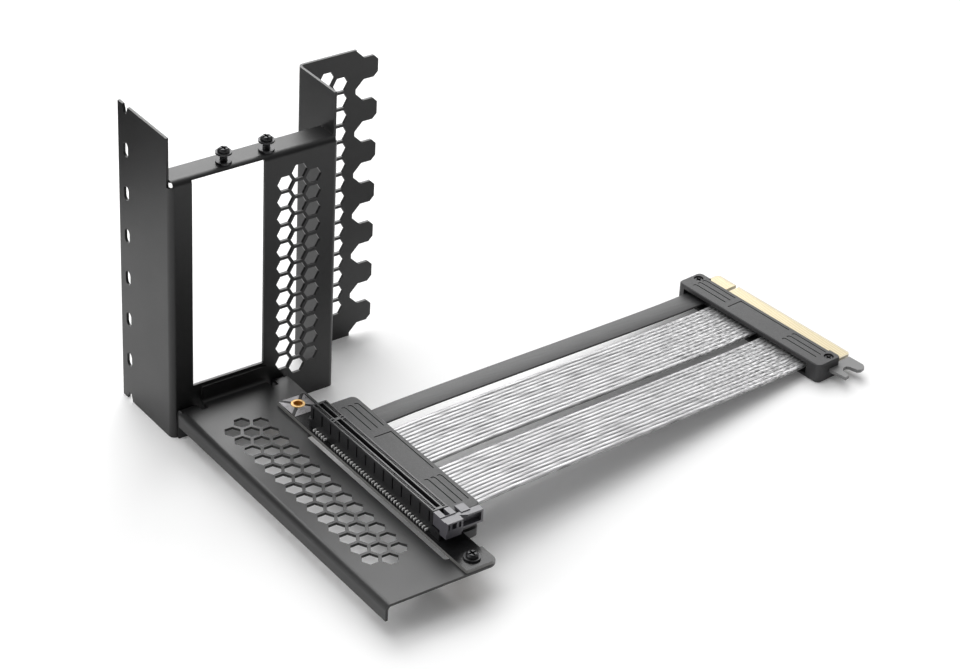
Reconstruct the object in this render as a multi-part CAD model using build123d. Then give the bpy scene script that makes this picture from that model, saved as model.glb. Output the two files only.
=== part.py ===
from build123d import *
import os
from math import cos, radians, sin, sqrt, tan

os.makedirs("parts", exist_ok=True)

# Vertical graphics card bracket with a riser: a folded frame that fills seven expansion
# slots, a tray folded to carry the riser's slot, and a flat cable to a plug for the board.
# Millimetres. X runs along the slots' screw-to-tongue direction, +Y points out of the
# computer's rear, Z is up. The origin is under the middle of the frame and the tray.

# expansion slots of the computer's case
slot_pitch = 20.32
slot_count = 7
screw_rail_to_tongue = 120.0
tongue_width = 10.2
tongue_reach = 7.2
tongue_chamfer = 2.2
tongue_rise = 0.6
gap_depth = 4.0

# folded sheet
sheet = 1.2
bend_in = 1.5
bend_out = bend_in + sheet

# frame
frame_height = slot_pitch * slot_count
panel_width = 80.9
flange_depth = 41.4
wing_setback = 30.4
rail_hole_inset = 5.9
rail_hole_width = 4.0
rail_hole_height = 6.8
notch_top_width = 5.0
notch_depth = 3.4
ledge_height = 122.8
ledge_depth = 12.0
ledge_gap = 0.5
relief_radius = 1.1
window_left = 10.4
window_width = 34.4
window_sill = 23.5
card_screw_first = 28.1
card_screw_inset = 5.0

# hexagon field, shared by the frame and the tray
hex_pitch = 7.94
hex_flats = 6.6
hex_row = hex_pitch * sqrt(3) / 2
panel_hex_x = 61.6
panel_hex_top = 111.8
panel_hex_count = 13
wing_hex_from_tongue = 25.8
wing_hex_top = 131.8
wing_hex_count = 16
tray_hex_x = 20.1
tray_hex_first = 23.1
tray_hex_count = 15

# tray
tray_reach = 158.6
tray_height = 14.7
tray_left = 1.6
tray_right = 55.4
tray_lip = 7.5
tray_corner = 4.5
tab_start = 14.1
tab_end = 45.6
tab_height = 7.4
relief_width = 3.2
relief_length = 6.3
bay_left = 37.5
bay_rear = 45.3
bay_front = 146.5
bay_corner = 1.5
tray_screw_height = 7.0
tray_screw_inset = 4.2

# riser board
board = 1.6
board_left = 39.6
board_end_width = 13.3
board_mid_width = 21.6
board_rear = 19.4
board_front = 158.4
board_mid_rear = 43.4
board_mid_front = 133.6
board_hole_x = 46.3
board_hole_rear = 25.4
board_hole_spacing = 127.0
board_hole = 4.8
pad_reach = 7.6
pad_gap = 1.5
pad_thick = 0.12
insert_flange = 6.0
insert_bore = 4.0
insert_lip = 0.35
nut_flange = 0.9
nut_foot = 1.6

# card slot
slot_x = 45.2
slot_width = 7.5
slot_length = 89.0
slot_height = 11.2
slot_rear = 42.7
end_wall = 1.6
short_bay = 11.9
key_wall = 1.75
card_gap = 2.0
card_depth = 8.5
contact_pitch = 1.0
contacts_short = 11
contacts_long = 71
contact_width = 0.55
pocket_reach = 1.3
pocket_depth = 6.0
pocket_offset = 2.3
end_pocket = 0.9
end_pocket_depth = 1.6
contact_clear = 0.06
contact_drop = 1.8
contact_lean = 0.4
rib_pitch = 6.5
rib_groove = 0.95
rib_groove_depth = 0.5
skirt_height = 4.6
skirt_inset = 0.55
tail_pitch = 2.0
tail_width = 0.7
tail_reach = 1.3
tail_height = 0.9
tails_short = 5
tails_long = 35
peg_radius = 1.5

# latch
latch_length = 9.9
latch_gap = 0.35
latch_nose = 7.9
latch_face = 5.4
latch_step = 0.35
nose_setback = 0.8
nose_clear = 0.45
channel_length = 4.6
channel_depth = 4.0
window_drop = 0.7
window_height = 2.6
window_depth = 2.2
pivot_from_slot = 2.8
pivot_height = 2.6
pivot_pin = 1.2
pivot_clear = 0.08
ear_thick = 0.95
ear_clear = 0.25
knuckle_radius = 1.8
arm_reach = 10.95
arm_front = 1.8
arm_depth = 3.3
arm_height = 6.0
arm_wall = 0.9
tab_left = 2.0
tab_width = 4.2
tab_length = 4.0
tab_clear = 0.3

# cable covers at the slot
cover_clear = 0.35
cover_width = 12.9
cover_length = slot_length + 2.4
cover_rear = slot_rear + 1.5
cover_height = 9.7
cover_corner = 3.0
cover_below = 4.2
cover_wall = 1.3
cover_end_wall = 3.4
cover_bevel = 0.35
cover_screw_sink = 1.4
mouth_low = 1.3
mouth_high = 6.3
mouth_depth = 4.0
groove_width = 0.55
groove_depth = 0.4
groove_step = 3.15
groove_length = 19.6
groove_edge = 2.3
groove_hook = 1.6
frame_groove = 30.6

# flat cables: offsets along the slot, measured at both ends
ribbon_width = 28.6
ribbon_thick = 1.6
strip_width = 11.4
strip_thick = 0.9
strip_at_slot = 56.8
ribbon_rear_at_slot = 82.0
ribbon_front_at_slot = 115.2
cable_exit_height = 20.1
strip_at_plug = 34.6
ribbon_rear_at_plug = 11.0
ribbon_front_at_plug = -21.8

# plug
plug_x = 260.5
plug_y = 65.7
plug_turn = 5.1
plug_length = 90.0
plug_depth = 13.4
plug_lobe = 0.9
plug_lobe_length = 7.2
plug_height = 9.2
plug_split = 4.6
plug_corner = 2.4
plug_screw_u = 9.8
plug_screw_v = 41.4
plug_mouth_low = 1.8
plug_mouth_high = 7.2
plug_mouth_rear = 41.0
plug_mouth_front = 37.4
plug_mouth_depth = 4.2
plug_clear = 0.1
plug_bevel = 0.4
plug_screw_sink = 1.9
plug_screw_head = 4.2
plug_screw_core = 1.7
plug_screw_length = 5.6
finger_edge = 24.3
finger_start = 42.6
finger_length = 84.3
finger_key = 12.6
finger_key_width = 1.9
finger_key_depth = 8.2
hook_gap = 1.5
hook_tip = 54.3

# screws
screw_head = 6.9
screw_head_height = 2.4
screw_core = 2.8
collar_od = 6.8
collar_height = 1.1
card_screw_stand = 3.2
tray_screw_head = 5.4
riser_screw_head = 7.0
screw_flange = 0.8
card_screw_tip = 3.0
tray_screw_height_out = 1.8
cross_width = 0.9
cross_length = 3.4
cross_depth = 1.3
fit = 0.15

left = -screw_rail_to_tongue / 2
front = (tray_reach - flange_depth) / 2


def at(x, y=0.0, z=0.0):
    """A place measured from the frame's left face and the panel's front face."""
    return Vector(left + x, front + y, z)


def block(x0, x1, y0, y1, z0, z1):
    """A box between two corners, measured like at()."""
    low, high = at(x0, y0, z0), at(x1, y1, z1)
    size = high - low
    return Pos(*((low + high) * 0.5)) * Box(size.X, size.Y, size.Z)


def folded(points, radius_in, height):
    """A sheet folded along a line of corner points, standing on the floor."""
    line = FilletPolyline(*points, radius=radius_in + sheet / 2)
    band = trace(line, sheet)
    return extrude(band, height, dir=(0, 0, 1))


def hexagons(columns, across, drop):
    """Hexagon centres in staggered columns: the odd columns hold one more."""
    places = []
    for column, count in enumerate(columns):
        shift = 0 if count == max(columns) else hex_pitch / 2
        for row in range(count):
            places.append((across + (column - len(columns) // 2) * hex_row, drop - shift - row * hex_pitch))
    return places


def hex_cutters(places, plane, depth):
    """Prisms of the hexagon field, through a sheet that lies on the plane."""
    shape = RegularPolygon(hex_flats / 2, 6, major_radius=False, rotation=0)
    cutters = []
    for across, up in places:
        cutters.append(extrude(plane * Pos(across, up) * shape, depth, both=True))
    return cutters


def cross_recess(place, length, depth):
    """The cross of a screw head, pressed in from the top."""
    one = Pos(place.X, place.Y, place.Z - depth / 2) * Box(length, cross_width, depth)
    return one + Pos(place.X, place.Y, place.Z - depth / 2) * Box(cross_width, length, depth)


def cylinder(place, radius, height, direction=(0, 0, 1)):
    """A round bar that starts at the place."""
    return extrude(Plane(origin=place, z_dir=direction) * Circle(radius), height)


def write(made, node):
    """One file for a node: a shape, or a list of shapes that repeat."""
    solids = []
    for shape in made if isinstance(made, list) else [made]:
        solids += list(shape.solids())
    export_step(Compound(children=solids) if len(solids) > 1 else solids[0], f"parts/{node}.step")
    print(node, len(solids))


# Frame

def slot_frame():
    t = sheet / 2
    right = panel_width - t
    wing_y = wing_setback + t
    # the straight runs before the folds, as the sheet's middle line
    points = [at(t, flange_depth), at(t, t), at(right, t), at(right, wing_y),
              at(screw_rail_to_tongue, wing_y)]
    body = folded(points, bend_in, frame_height)

    # above the ledge only the two side flanges go on
    top_of_panel = ledge_height - bend_out
    body -= block(-1, screw_rail_to_tongue + 1, -1, bend_out, top_of_panel, frame_height + 1)

    # ledge folded back from the panel's top edge
    profile = Polyline(at(0, t, top_of_panel - 1), at(0, t, ledge_height - t),
                       at(0, ledge_depth, ledge_height - t))
    start, corner, end = profile.vertices()
    bent = FilletPolyline(start, corner, end, radius=bend_in + t)
    ledge_left = sheet + ledge_gap
    ledge_right = panel_width - sheet - ledge_gap
    strip = trace_on(bent, Plane(origin=at(0), x_dir=(0, 1, 0), z_dir=(1, 0, 0)))
    body += Pos(ledge_left, 0, 0) * extrude(strip, ledge_right - ledge_left, dir=(1, 0, 0))

    # window for the card's own bracket, up to the ledge's sheet
    body -= block(window_left, window_left + window_width, -1, bend_out,
                  window_sill, ledge_height - sheet)

    # bend relief where three folds meet
    for x in (bend_out / 2, panel_width - bend_out / 2):
        body -= cylinder(at(x - bend_out, bend_out / 2 + 0.4, top_of_panel + relief_radius),
                         relief_radius, 2 * bend_out, (1, 0, 0))

    # holes for the case's slot screws, with a half one at each end
    hole_y = flange_depth - rail_hole_inset
    rail = Plane(origin=at(0, hole_y), x_dir=(0, 1, 0), z_dir=(1, 0, 0))
    oval = SlotOverall(rail_hole_height, rail_hole_width, rotation=90)
    for k in range(1, slot_count):
        body -= extrude(rail * Pos(0, k * slot_pitch) * oval, sheet * 2, both=True)
    half = notch_top_width / 2
    tip = rail_hole_width / 4
    for base, way in ((0, 1), (frame_height, -1)):
        notch = Polygon((-half, base - way), (-tip, base + way * notch_depth),
                        (tip, base + way * notch_depth), (half, base - way), align=None)
        body -= extrude(rail * notch, sheet * 2, both=True)

    # tongues: the wing's edge is cut back between them
    edge = screw_rail_to_tongue
    root = edge - tongue_reach
    wing = Plane(origin=at(0, wing_setback), x_dir=(1, 0, 0), z_dir=(0, -1, 0))
    for k in range(slot_count + 1):
        low = (k - 0.5) * slot_pitch + tongue_width / 2 + tongue_rise
        high = low + slot_pitch - tongue_width
        gap = Polygon((edge + 1, low - tongue_chamfer - 1), (edge - tongue_chamfer, low), (root, low),
                      (root - gap_depth, low + gap_depth), (root - gap_depth, high - gap_depth),
                      (root, high), (edge - tongue_chamfer, high), (edge + 1, high + tongue_chamfer + 1),
                      align=None)
        body -= extrude(wing * gap, sheet * 3, both=True)

    # hexagon fields
    n = panel_hex_count
    face = Plane(origin=at(0, sheet / 2), x_dir=(1, 0, 0), z_dir=(0, -1, 0))
    for cutter in hex_cutters(hexagons((n - 1, n, n - 1), panel_hex_x, panel_hex_top), face, sheet):
        body -= cutter
    n = wing_hex_count
    face = Plane(origin=at(0, wing_y), x_dir=(1, 0, 0), z_dir=(0, -1, 0))
    centre = screw_rail_to_tongue - wing_hex_from_tongue
    for cutter in hex_cutters(hexagons((n - 1, n, n - 1), centre, wing_hex_top), face, sheet):
        body -= cutter

    # holes for the card's screws and for the screws that hold the tray
    for place in card_screw_places():
        body -= cylinder(place - Vector(0, 0, 2 * sheet), screw_core / 2 + fit, 4 * sheet)
    for place in tray_fixing_places():
        body -= cylinder(place - Vector(0, sheet, 0), screw_core / 2 + fit, 3 * sheet, (0, 1, 0))
    return body


def trace_on(line, plane):
    """A band of the sheet's thickness along a bent line that lies in the plane."""
    flat = plane.to_local_coords(line)
    return plane * trace(flat, sheet)


def card_screw_places():
    return [at(card_screw_first + k * slot_pitch, card_screw_inset, ledge_height) for k in (0, 1)]


def tray_fixing_places():
    return [at(x, 0, tray_screw_height) for x in (tab_start - relief_width - tray_screw_inset,
                                                  tab_end + relief_width + tray_screw_inset)]


# Tray

def riser_tray():
    t = sheet / 2
    # the flat and its left lip, as one folded run along the tray
    section = FilletPolyline(at(tray_left + t, 0, tray_height - tray_lip),
                             at(tray_left + t, 0, tray_height - t),
                             at(tray_right, 0, tray_height - t), radius=bend_in + t)
    plane = Plane(origin=at(0), x_dir=(1, 0, 0), z_dir=(0, -1, 0))
    band = trace_on(section, plane)
    body = extrude(band, tray_reach, dir=(0, -1, 0))
    body -= block(-1, tray_right + 1, -bend_out, 1, 0, frame_height)

    # rear edge: turned down at both sides, and up against the rail in the middle
    down = FilletPolyline(at(0, -t, 0), at(0, -t, tray_height - t), at(0, -bend_out - 1, tray_height - t),
                          radius=bend_in + t)
    up = FilletPolyline(at(0, -t, tray_height + tab_height), at(0, -t, tray_height - t),
                        at(0, -bend_out - 1, tray_height - t), radius=bend_in + t)
    side = Plane(origin=at(0), x_dir=(0, 1, 0), z_dir=(1, 0, 0))
    reliefs = ((tab_start - relief_width, tab_start), (tab_end, tab_end + relief_width))
    for line, x0, x1 in ((down, tray_left + 1.0, reliefs[0][0]), (up, tab_start, tab_end),
                         (down, reliefs[1][1], tray_right)):
        body += Pos(x0, 0, 0) * extrude(trace_on(line, side), x1 - x0, dir=(1, 0, 0))
    for x0, x1 in reliefs:
        body -= block(x0, x1, -relief_length, 1, tray_height - 2 * sheet, tray_height + 1)

    # open bay under the riser, with an ear left at each end for its screws
    bay = block(bay_left, tray_right + 10, -bay_front, -bay_rear, 0, tray_height + 1)
    bay = fillet(bay.edges().filter_by(Axis.Z).group_by(Axis.X)[0], bay_corner)
    body -= bay
    ear = body.edges().filter_by(Axis.Z).group_by(Axis.Y)[0].sort_by(Axis.X)[-1]
    body = fillet(ear, tray_corner)

    places = hexagons((tray_hex_count - 1, tray_hex_count, tray_hex_count - 1), 0, 0)
    flat = Plane(origin=at(tray_hex_x, -tray_hex_first, tray_height - t), x_dir=(1, 0, 0), z_dir=(0, 0, 1))
    for cutter in hex_cutters(places, flat, sheet):
        body -= cutter
    for place in board_hole_places():
        body -= cylinder(Vector(place.X, place.Y, tray_height - 2 * sheet), nut_radius(), 4 * sheet)
    for place in tray_fixing_places():
        body -= cylinder(place - Vector(0, 2 * sheet, 0), screw_core / 2 + fit, 3 * sheet, (0, 1, 0))
    return body


def nut_radius():
    return board_hole / 2 + 0.5


def board_hole_places():
    return [at(board_hole_x, -board_hole_rear - k * board_hole_spacing, tray_height) for k in (0, 1)]


def clinch_nuts():
    """A threaded brass nut in each ear of the tray, flush with its top."""
    nuts = []
    for place in board_hole_places():
        base = place - Vector(0, 0, sheet)
        nut = cylinder(base, nut_radius() - 0.02, sheet)
        nut += cylinder(base - Vector(0, 0, nut_foot), nut_radius() + nut_flange, nut_foot)
        nut -= cylinder(base - Vector(0, 0, 2 * nut_foot), screw_core / 2 + 0.05, 4 * nut_foot)
        nuts.append(nut)
    return nuts


# Riser board

def board_top():
    return tray_height + board


def riser_board():
    mid = block(board_left, board_left + board_mid_width, -board_mid_front, -board_mid_rear,
                tray_height, board_top())
    body = block(board_left, board_left + board_end_width, -board_front, -board_rear,
                 tray_height, board_top()) + mid
    corners = body.edges().filter_by(Axis.Z)
    body = fillet(corners.group_by(Axis.Y)[0] + corners.group_by(Axis.Y)[-1], 0.8)
    for place in board_hole_places():
        body -= cylinder(place - Vector(0, 0, 1), board_hole / 2, board + 2)
    return body


def ground_pads():
    """Four tinned petals round the open fixing hole, parted by a cross of bare board."""
    place = board_hole_places()[0]
    edge = 0.5
    room = block(board_left + edge, board_left + board_end_width - edge, -slot_rear + 2 * peg_radius + edge,
                 -board_rear - edge, 0, frame_height)
    face = Rectangle(4 * pad_reach, 2 * pad_reach) - Circle(insert_flange / 2 + fit)
    for turn in (45, 135):
        face -= Rot(0, 0, turn) * Rectangle(4 * pad_reach, pad_gap)
    top = Plane(origin=Vector(place.X, place.Y, board_top()))
    return list((extrude(top * face, pad_thick) & room).solids())


def brass_insert():
    """The open rear hole's flanged eyelet."""
    place = board_hole_places()[0]
    top = board_top()
    body = cylinder(Vector(place.X, place.Y, tray_height), board_hole / 2 - 0.03, board)
    body += cylinder(Vector(place.X, place.Y, top), insert_flange / 2, insert_lip)
    return body - cylinder(Vector(place.X, place.Y, 0), insert_bore / 2, 40)


def riser_screw():
    place = board_hole_places()[1]
    seat = Vector(place.X, place.Y, board_top())
    length = board + sheet + 2
    shank = cylinder(seat - Vector(0, 0, length), screw_core / 2, length)
    return flanged_head(seat, riser_screw_head) + shank


def flanged_head(seat, width):
    """A screw head with a flange under it and a cross in its top."""
    head = cylinder(seat, width / 2, screw_flange)
    head += cylinder(seat + Vector(0, 0, screw_flange), 0.37 * width, screw_head_height - screw_flange)
    head = chamfer(top_rim(head), 0.8)
    return head - cross_recess(seat + Vector(0, 0, screw_head_height), cross_length, cross_depth)


def top_rim(body, axis=Axis.Z):
    return body.edges().filter_by(GeomType.CIRCLE).sort_by(axis)[-1]


def card_screws():
    """Flanged screws for the card's bracket, left standing proud of their collars."""
    screws = []
    for place in card_screw_places():
        stand = collar_height + card_screw_stand
        shank = cylinder(place - Vector(0, 0, card_screw_tip), screw_core / 2, card_screw_tip + stand)
        screws.append(flanged_head(place + Vector(0, 0, stand), screw_head) + shank)
    return screws


def screw_collars():
    """The loose washer ring of each card screw, lying on the ledge."""
    rings = []
    for place in card_screw_places():
        ring = cylinder(place, collar_od / 2, collar_height)
        rings.append(ring - cylinder(place - Vector(0, 0, 1), screw_core / 2 + fit, collar_height + 2))
    return rings


def tray_screws():
    """Screws from behind the panel into the tray's down-turned ends."""
    screws = []
    for place in tray_fixing_places():
        seat = place + Vector(0, sheet, 0)
        head = cylinder(seat, tray_screw_head / 2, tray_screw_height_out, (0, 1, 0))
        head = chamfer(top_rim(head, Axis.Y), 0.7)
        for size in ((cross_width, cross_length), (cross_length, cross_width)):
            head -= Pos(*(seat + Vector(0, tray_screw_height_out, 0))) * Box(size[0], 1.6, size[1])
        reach = 2 * sheet + 2
        screws.append(head + cylinder(seat - Vector(0, reach, 0), screw_core / 2, reach, (0, 1, 0)))
    return screws


# Card slot

def slot_span():
    """Front and rear ends of both card bays, counted back from the slot's rear end."""
    first = end_wall
    second = first + short_bay + key_wall
    return ((first, first + short_bay), (second, slot_length - end_wall))


def contact_rows():
    """Distances from the slot's rear end to each contact, one list for each bay."""
    rows = []
    for (low, high), count in zip(slot_span(), (contacts_short, contacts_long)):
        start = (low + high - (count - 1) * contact_pitch) / 2
        rows.append([start + k * contact_pitch for k in range(count)])
    return rows


def slot_top():
    return board_top() + slot_height


def slot_housing():
    x0, x1 = slot_x - slot_width / 2, slot_x + slot_width / 2
    y0, y1 = -slot_rear - slot_length, -slot_rear
    top = slot_top()
    body = block(x0, x1, y0, y1, board_top(), top)
    body = chamfer(body.edges().group_by(Axis.Z)[-1], 0.3)
    for low, high in slot_span():
        body -= block(slot_x - card_gap / 2, slot_x + card_gap / 2, y1 - high, y1 - low,
                      top - card_depth, top + 1)
    # a trough for the contacts in both rails, and square pockets where each row ends
    ends = [end for span in slot_span() for end in (span[0] - 0.15, span[1] + 0.15)]
    ends[1:3] = [(ends[1] + ends[2]) / 2]
    cutters = []
    for side in (-1, 1):
        x = slot_x + side * pocket_offset
        low, high = x - pocket_reach / 2, x + pocket_reach / 2
        for row in contact_rows():
            cutters.append(block(low, high, y1 - row[-1] - contact_pitch / 2, y1 - row[0] + contact_pitch / 2,
                                 top - pocket_depth, top + 1))
        for end in ends:
            cutters.append(block(low, high, y1 - end - end_pocket / 2, y1 - end + end_pocket / 2,
                                 top - end_pocket_depth, top + 1))
    # ribs on both sides, over a narrower skirt
    count = int((slot_length - 4) / rib_pitch) + 1
    inset = (slot_length - (count - 1) * rib_pitch) / 2
    for side in (-1, 1):
        face = slot_x + side * slot_width / 2
        low, high = sorted((face - side * rib_groove_depth, face + side))
        for k in range(count):
            y = y1 - inset - k * rib_pitch
            cutters.append(block(low, high, y - rib_groove / 2, y + rib_groove / 2,
                                 board_top() + skirt_height - 0.6, top - 0.9))
        low, high = sorted((face - side * skirt_inset, face + side))
        cutters.append(block(low, high, y0 - 1, y1 + 1, board_top() - 1, board_top() + skirt_height))
    body -= cutters
    # round foot at the rear end and the latch's two ears at the front
    foot = at(x0 + peg_radius + 0.2, -slot_rear + peg_radius - 0.5, board_top())
    body += cylinder(foot, peg_radius, 3.6) - cylinder(foot + Vector(0, 0, 2.6), 0.7, 2)
    pivot = latch_pivot()
    for low in (x0, x1 - ear_thick):
        ear = block(low, low + ear_thick, pivot.Y - front, y0 + 1, board_top(), pivot.Z + knuckle_radius)
        ear += cylinder(Vector(left + low, pivot.Y, pivot.Z), knuckle_radius, ear_thick, (1, 0, 0))
        ear += block(low, low + ear_thick, pivot.Y - front - knuckle_radius, pivot.Y - front + 1,
                     board_top(), pivot.Z)
        ear -= cylinder(Vector(left + low - 1, pivot.Y, pivot.Z), pivot_pin / 2, ear_thick + 2, (1, 0, 0))
        body += ear
    return body


def slot_contacts():
    """Sprung strips standing in the rails' troughs, leaning towards the card."""
    strips = []
    floor = slot_top() - pocket_depth
    for side in (-1, 1):
        x = slot_x + side * pocket_offset
        reach = side * (pocket_reach / 2 - contact_clear)
        base = Plane(origin=at(x, -slot_rear, floor), x_dir=(1, 0, 0), z_dir=(0, -1, 0))
        tip = pocket_depth - contact_drop
        blade = Polygon((reach, 0), (-reach, tip - contact_lean), (reach, tip), align=None)
        for place in sum(contact_rows(), []):
            start = base * Pos(0, 0, place - contact_width / 2)
            strips.append(extrude(start * blade, contact_width, dir=(0, -1, 0)))
    return strips


def slot_tails():
    """Soldered tails along the open side of the slot's foot, at twice the contacts' pitch."""
    tails = []
    inner = slot_x - slot_width / 2 + skirt_inset
    for (start, end), count in zip(slot_span(), (tails_short, tails_long)):
        first = (start + end - (count - 1) * tail_pitch) / 2
        for k in range(count):
            y = -slot_rear - first - k * tail_pitch
            tails.append(block(inner - tail_reach, inner, y - tail_width / 2, y + tail_width / 2,
                               board_top(), board_top() + tail_height))
    return tails


# Latch

def latch_pivot():
    return at(0, -slot_rear - slot_length - pivot_from_slot, board_top() + pivot_height)


def slot_latch():
    x0, x1 = slot_x - slot_width / 2, slot_x + slot_width / 2
    rear = -slot_rear - slot_length - latch_gap
    tip = rear - latch_length
    top = slot_top()
    pivot = latch_pivot()
    pivot_y = pivot.Y - front
    deck = pivot.Z + knuckle_radius + 0.9
    body = block(x0, x1, tip, rear, deck, top)
    body += block(x0, x1, tip, pivot_y - knuckle_radius - nose_clear, top - latch_nose, deck)
    body -= block(x0 - 1, x1 + 1, tip - 1, tip + nose_setback, 0, top - latch_face)
    # the root between the slot's ears carries the knuckle
    low, high = x0 + ear_thick + ear_clear, x1 - ear_thick - ear_clear
    body += cylinder(Vector(left + low, pivot.Y, pivot.Z), knuckle_radius, high - low, (1, 0, 0))
    body += block(low, high, pivot_y - knuckle_radius, pivot_y + knuckle_radius, pivot.Z, deck + 1)
    # channel for the card's hook, and windows in the front
    half = card_gap / 2 + 0.1
    body -= block(slot_x - half, slot_x + half, rear - channel_length, rear + 1, top - channel_depth, top + 1)
    for start, width in ((0.5, 0.75), (2.2, 2.2), (5.5, 1.1)):
        body -= block(x0 + start, x0 + start + width, tip - 1, tip + window_depth,
                      top - window_drop - window_height, top - window_drop)
    # hollow finger arm in front of the cable cover, a step lower than the nose
    y0, y1 = tip + arm_front, tip + arm_front + arm_depth
    level = top - latch_step
    body -= block(x0 - 1, x1 + 1, y0, y1, level, top + 1)
    body += block(x1 - 1, x1 + arm_reach, y0, y1, level - arm_height, level)
    body -= block(x1 + arm_wall, x1 + arm_reach - arm_wall, y0 - 1, y1 - arm_wall,
                  level - arm_height + arm_wall, level - arm_wall)
    notch = Polygon((x1 + 0.4, y0 - 1), (x1 + 5.4, y0 - 1), (x1 + 0.4, y0 + 1.6), align=None)
    body -= extrude(Plane(origin=at(0, 0, level - arm_wall - 0.5)) * notch, arm_wall + 1)
    # tab that lies over the cover's end, and a foot under the arm
    cover_top = board_top() + cover_height
    body += block(x1 + tab_left, x1 + tab_left + tab_width, y1 - arm_wall, y1 + tab_length,
                  cover_top + tab_clear, top)
    body += block(x1 - 0.6, x1 + 1.4, y0 + 0.2, y0 + 2.3, level - arm_height - 1.6, level - arm_height + 0.5)
    body -= cylinder(Vector(left + x0 - 1, pivot.Y, pivot.Z), pivot_pin / 2 + pivot_clear,
                     slot_width + 2, (1, 0, 0))
    return body


def latch_pin():
    pivot = latch_pivot()
    start = Vector(left + slot_x - slot_width / 2, pivot.Y, pivot.Z)
    return cylinder(start, pivot_pin / 2, slot_width, (1, 0, 0))


# Covers

def grooves(plane, width, length):
    """Two groups of three hooked lines and a bent line between them, cut into a cover's top.

    The plane's x runs across the cover from its slot side, and its y runs along it."""
    lines = []
    hook = groove_hook
    for end in (-1, 1):
        for k in range(3):
            x = width - groove_edge - k * groove_step
            y = length / 2 - 5.6 if end > 0 else -length / 2 + 5.6 + groove_length
            lines.append(FilletPolyline((x - hook, y), (x - hook * 0.25, y), (x, y - hook * 0.75),
                                        (x, y - groove_length), radius=0.3))
    x = width - groove_edge + 0.1
    lines.append(Polyline((x - 2.6 * groove_step, frame_groove / 2), (x, frame_groove / 2),
                          (x, -frame_groove / 2)))
    cuts = []
    for line in lines:
        cuts.append(extrude(plane * trace(line, groove_width), -groove_depth))
    return cuts


def cover_origin():
    """Middle of the cover's slot side."""
    return slot_x + slot_width / 2 + cover_clear, -cover_rear - cover_length / 2


def cover_body(z0, z1, rear=cover_rear):
    x0, yc = cover_origin()
    body = block(x0, x0 + cover_width, yc - cover_length / 2, -rear, z0, z1)
    outer = body.edges().filter_by(Axis.Z).group_by(Axis.X)[-1]
    return fillet(outer, cover_corner)


def cable_cover_top():
    x0, yc = cover_origin()
    x1 = x0 + cover_width
    base, top = board_top(), board_top() + cover_height
    body = cover_body(base, top)
    body = chamfer(body.faces().sort_by(Axis.Z)[-1].edges(), cover_bevel)
    # mouth for the flat cables, and a hollow over the board's solder joints
    half = cover_length / 2 - cover_end_wall
    body -= block(x1 - mouth_depth, x1 + 1, yc - half, yc + half, base + mouth_low, base + mouth_high)
    body -= block(x0 + cover_wall, x1 - mouth_depth - 1.2, yc - half, yc + half, base - 1,
                  base + mouth_high)
    plane = Plane(origin=at(x0, yc, top), x_dir=(1, 0, 0), z_dir=(0, 0, 1))
    body -= grooves(plane, cover_width, cover_length)
    tail_room = block(x0 - 1, x0 + 1.2, -slot_rear - slot_length, -slot_rear, base - 1, base + 1.2)
    return body - tail_room


def cable_cover_base():
    x0, yc = cover_origin()
    top = tray_height
    lip = board_left + board_mid_width
    body = cover_body(top - cover_below, top, bay_rear + cover_clear)
    body = chamfer(body.faces().sort_by(Axis.Z)[0].edges(), cover_bevel)
    half = cover_length / 2 - cover_end_wall - 5
    body -= block(x0 + cover_wall, lip - cover_wall, yc - half, yc + half, top - cover_below + cover_wall,
                  top + 1)
    for place in cover_screw_places():
        body -= cylinder(place - Vector(0, 0, cover_below + 1), 1.25, cover_below + 2)
        body -= cylinder(place - Vector(0, 0, cover_below + 1), 2.2, 1 + cover_screw_sink)
    return body


def cover_screw_places():
    """Under the board, near each end of the cable covers."""
    x0, yc = cover_origin()
    reach = cover_length / 2 - 4.2
    return [at(x0 + cover_width / 2 + 1.0, yc + s * reach, tray_height) for s in (-1, 1)]


def cover_screws():
    screws = []
    for place in cover_screw_places():
        seat = place - Vector(0, 0, cover_below - cover_screw_sink)
        head = cylinder(seat - Vector(0, 0, 1.2), 2.0, 1.2)
        head -= Pos(seat.X, seat.Y, seat.Z - 1.0) * Box(2.4, 0.5, 0.6)
        screws.append(head + cylinder(seat, 0.95, cover_below - cover_screw_sink))
    return screws


# Flat cables

def cable_route(v_slot, v_plug):
    """From inside the slot's cover to inside the plug: level ends and an even fall between."""
    x0, yc = cover_origin()
    x1 = x0 + cover_width
    begin = at(x1 - mouth_depth, -v_slot, cable_exit_height)
    end = plug_place(plug_mouth_depth, v_plug, plug_split)
    span = end - begin
    fall = begin.Z - end.Z
    steps = ((0.0, 0.0), (0.05, 0.0), (0.28, 0.24), (0.72, 0.76), (0.95, 1.0), (1.0, 1.0))
    return [Vector(begin.X + s * span.X, begin.Y + s * span.Y, begin.Z - d * fall) for s, d in steps]


def flat_cable(v_slot, v_plug, width, thick):
    route = cable_route(v_slot, v_plug)
    radii = route_radii(route)
    path = FilletPolyline(*route, radius=radii)
    start = path % 0
    across = Vector(-start.Y, start.X, 0)
    section = Plane(origin=path @ 0, x_dir=across, z_dir=start) * Rectangle(width, thick)
    solid = sweep(section, path=path)
    print("cable", round(path.length, 1), "radii", [round(r) for r in radii],
          "volume ratio", round(solid.volume / (path.length * width * thick), 4))
    return solid


def route_radii(route):
    radii = []
    for a, b, c in zip(route, route[1:], route[2:]):
        turn = radians((b - a).get_angle(c - b))
        radii.append(0.45 * min((b - a).length, (c - b).length) / tan(turn / 2))
    return radii


# Plug

def plug_place(u, v, z):
    """u runs along the cable out of the computer board's side, v along the plug."""
    turn = radians(plug_turn)
    return at(plug_x + u * cos(turn) - v * sin(turn), -plug_y + u * sin(turn) + v * cos(turn), z)


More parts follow.
